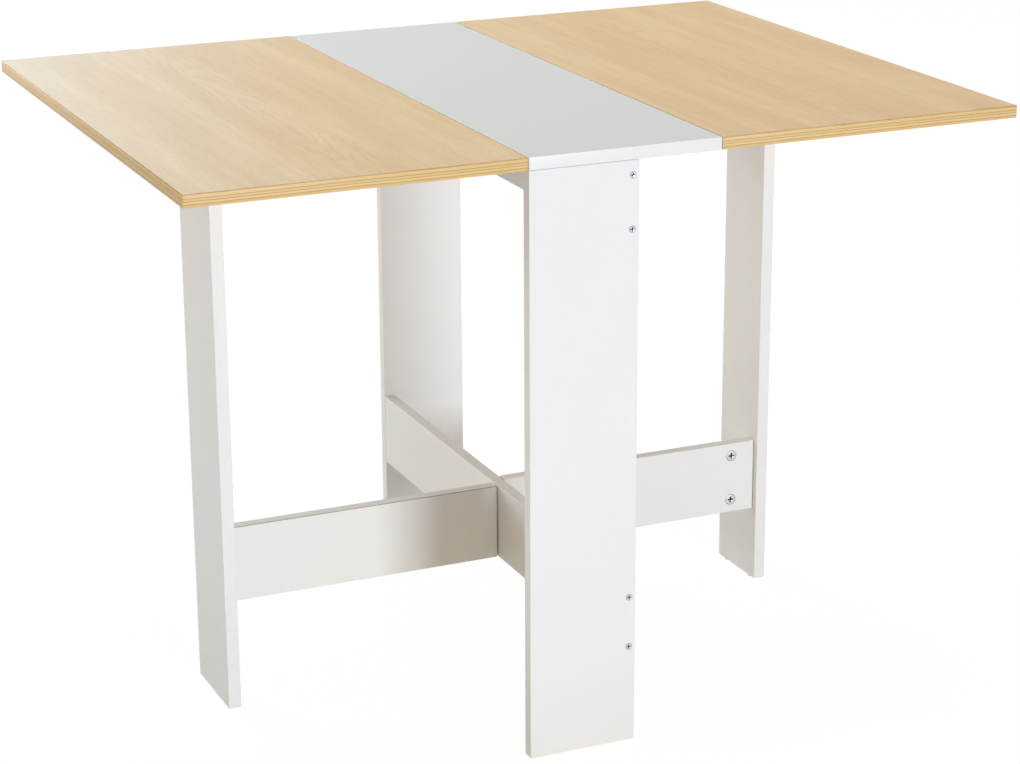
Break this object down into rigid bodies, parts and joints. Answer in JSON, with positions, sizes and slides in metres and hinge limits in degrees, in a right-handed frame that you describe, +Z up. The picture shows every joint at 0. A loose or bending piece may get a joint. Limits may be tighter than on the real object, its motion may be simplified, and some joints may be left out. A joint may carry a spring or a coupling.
{
  "type": "drop-leaf dining table",
  "caption": "Dining table with a narrow fixed centre on end panels and two hinged leaves, each held up by a swinging gate leg.",
  "frame": {"origin": "middle of the footprint on the floor", "axes": "+X along the length from the left leaf to the right leaf, +Y across the table to the back, +Z up"},
  "size_m": [1.05, 0.8, 0.74],
  "materials": {
    "oak_laminate": "satin light oak laminate",
    "plywood_look_edging": "satin striped edging",
    "grey_laminate": "satin light grey laminate",
    "white_edging": "satin white",
    "white_laminate": "satin white laminate on particle board",
    "zinc_plate": "zinc plated",
    "zinc_fittings": "zinc plated",
    "beech": "plain",
    "white_nylon": "matte"
  },
  "bodies": {
    "frame": {"centre_top": "grey_laminate", "centre_top_edging": "white_edging", "front_panel": "white_laminate", "back_panel": "white_laminate", "lower_rail": "white_laminate", "upper_rail": "white_laminate", "front_panel_screws": "zinc_fittings", "back_panel_screws": "zinc_fittings", "top_brackets": "zinc_plate", "top_bracket_screws": "zinc_fittings", "left_gate_hinge_rail_plates": "zinc_plate", "left_gate_hinge_pins": "zinc_fittings", "left_gate_hinge_rail_screws": "zinc_fittings", "left_leaf_hinge_fixed_plates": "zinc_plate", "left_leaf_hinge_pins": "zinc_fittings", "left_leaf_hinge_fixed_screws": "zinc_fittings", "right_gate_hinge_rail_plates": "zinc_plate", "right_gate_hinge_pins": "zinc_fittings", "right_gate_hinge_rail_screws": "zinc_fittings", "right_leaf_hinge_fixed_plates": "zinc_plate", "right_leaf_hinge_pins": "zinc_fittings", "right_leaf_hinge_fixed_screws": "zinc_fittings"},
    "left_flap": {"left_leaf": "oak_laminate", "left_leaf_edging": "plywood_look_edging", "left_leaf_hinge_moving_plates": "zinc_plate", "left_leaf_hinge_moving_screws": "zinc_fittings"},
    "left_gate": {"left_leg": "white_laminate", "left_lower_stretcher": "white_laminate", "left_upper_stretcher": "white_laminate", "left_gate_cams": "zinc_fittings", "left_gate_cam_bolts": "zinc_fittings", "left_gate_dowels": "beech", "left_leg_glides": "white_nylon", "left_gate_hinge_swing_plates": "zinc_plate", "left_gate_hinge_swing_screws": "zinc_fittings"},
    "right_flap": {"right_leaf": "oak_laminate", "right_leaf_edging": "plywood_look_edging", "right_leaf_hinge_moving_plates": "zinc_plate", "right_leaf_hinge_moving_screws": "zinc_fittings"},
    "right_gate": {"right_leg": "white_laminate", "right_lower_stretcher": "white_laminate", "right_upper_stretcher": "white_laminate", "right_gate_cams": "zinc_fittings", "right_gate_cam_bolts": "zinc_fittings", "right_gate_dowels": "beech", "right_leg_glides": "white_nylon", "right_gate_hinge_swing_plates": "zinc_plate", "right_gate_hinge_swing_screws": "zinc_fittings"}
  },
  "joints": [
    {"name": "left_leaf_hinge", "type": "hinge", "parent": "frame", "child": "left_flap", "pos_m": [-0.1225, 0, 0.7217], "axis": [0, 1, 0], "range_deg": [0, 2.5]},
    {"name": "right_leaf_hinge", "type": "hinge", "parent": "frame", "child": "right_flap", "pos_m": [0.1225, 0, 0.7217], "axis": [0, -1, 0], "range_deg": [0, 2.5]},
    {"name": "left_gate_hinge", "type": "hinge", "parent": "frame", "child": "left_gate", "pos_m": [-0.005, -0.005, 0.41], "axis": [0, 0, -1], "range_deg": [-5, 90]},
    {"name": "right_gate_hinge", "type": "hinge", "parent": "frame", "child": "right_gate", "pos_m": [0.021, -0.011, 0.41], "axis": [0, 0, -1], "range_deg": [-5, 90]}
  ]
}
